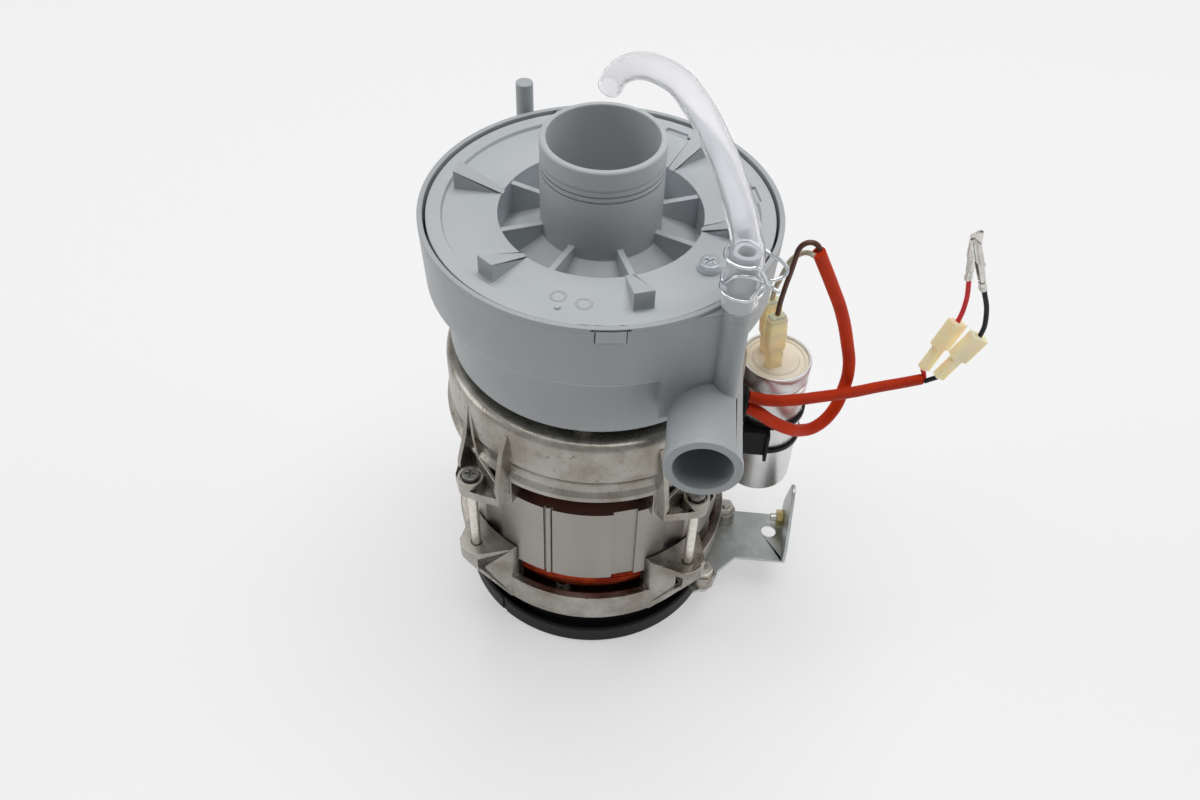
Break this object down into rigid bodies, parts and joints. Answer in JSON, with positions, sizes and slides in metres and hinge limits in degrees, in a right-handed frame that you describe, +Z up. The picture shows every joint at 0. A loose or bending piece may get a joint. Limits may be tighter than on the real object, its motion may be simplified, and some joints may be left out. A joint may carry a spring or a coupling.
{
  "type": "dishwasher circulation pump",
  "caption": "Vertical circulation pump: round moulded volute with suction and discharge spigots on an open induction motor, with capacitor, vent hose, leads and bracket.",
  "frame": {"origin": "on the shaft axis, in the plane of the black base's underside", "axes": "+Z up along the shaft axis to the suction spigot, -Y out of the discharge spigot, +X towards the capacitor"},
  "size_m": [0.2334, 0.1489, 0.2506],
  "materials": {
    "grey_plastic": "satin moulded grey polypropylene",
    "pale_plastic": "moulded impeller plastic",
    "black_plastic": "satin black moulded plastic",
    "cream_plastic": "cream moulded plastic",
    "soft_cream": "soft translucent cream vinyl",
    "ceramic": "ground ceramic",
    "carbon": "pressed carbon",
    "black_rubber": "moulded rubber",
    "clear_hose": "clear flexible tube",
    "red_sleeve": "matte brick red insulating sleeve",
    "brown_lead": "insulated lead",
    "cream_lead": "insulated lead",
    "red_lead": "insulated lead",
    "black_lead": "insulated lead",
    "cast_aluminium": "as-cast with fine grain",
    "can_aluminium": "drawn bright aluminium",
    "stack_steel": "ground steel sheets",
    "bright_steel": "ground steel",
    "zinc_steel": "bright zinc plated",
    "pale_zinc": "pale yellowish zinc plated",
    "spring_steel": "bright plated spring wire",
    "zinc_sheet": "zinc plated sheet",
    "brass_nut": "brass",
    "copper": "enamelled copper wire with varnish",
    "tinned_brass": "tinned brass"
  },
  "bodies": {
    "stator": {"volute_body": "grey_plastic", "suction_cover": "grey_plastic", "cover_seal": "black_rubber", "cover_lock_screw": "zinc_steel", "volute_screws": "zinc_steel", "vent_hose": "clear_hose", "hose_clamp": "spring_steel", "drive_end_shield": "cast_aluminium", "rear_end_shield": "cast_aluminium", "tie_bolts": "pale_zinc", "tie_nuts": "pale_zinc", "stator_stack": "stack_steel", "slot_conductors": "copper", "upper_winding_core": "copper", "lower_winding_core": "copper", "upper_winding_turns": "copper", "lower_winding_turns": "copper", "seal_seat": "ceramic", "upper_bearing_outer": "bright_steel", "lower_bearing_outer": "bright_steel", "fan_cowl": "black_plastic", "cowl_screws": "zinc_steel", "mounting_bracket": "zinc_sheet", "bracket_screws": "zinc_steel", "bracket_nuts": "zinc_steel", "earth_stud": "zinc_steel", "earth_nut": "brass_nut", "capacitor_can": "can_aluminium", "capacitor_lid": "cream_plastic", "capacitor_blades": "tinned_brass", "terminal_boots": "soft_cream", "capacitor_clip": "black_plastic", "lead_grommet": "black_rubber", "capacitor_sleeve": "red_sleeve", "capacitor_lead_brown": "brown_lead", "capacitor_lead_white": "cream_lead", "supply_sleeve": "red_sleeve", "supply_lead_red": "red_lead", "supply_lead_black": "black_lead", "connector_housings": "cream_plastic", "receptacle_terminals": "tinned_brass"},
    "rotor": {"rotor_shaft": "bright_steel", "rotor_core": "stack_steel", "rotor_end_rings": "cast_aluminium", "water_slinger": "black_rubber", "impeller": "pale_plastic", "impeller_nut": "brass_nut", "seal_ring": "carbon", "seal_bellows": "black_rubber", "upper_bearing_inner": "bright_steel", "lower_bearing_inner": "bright_steel", "cooling_fan": "black_plastic"}
  },
  "joints": [
    {"name": "rotor_spin", "type": "hinge", "parent": "stator", "child": "rotor", "pos_m": [0, 0, 0.1], "axis": [0, 0, 1], "continuous": true}
  ]
}
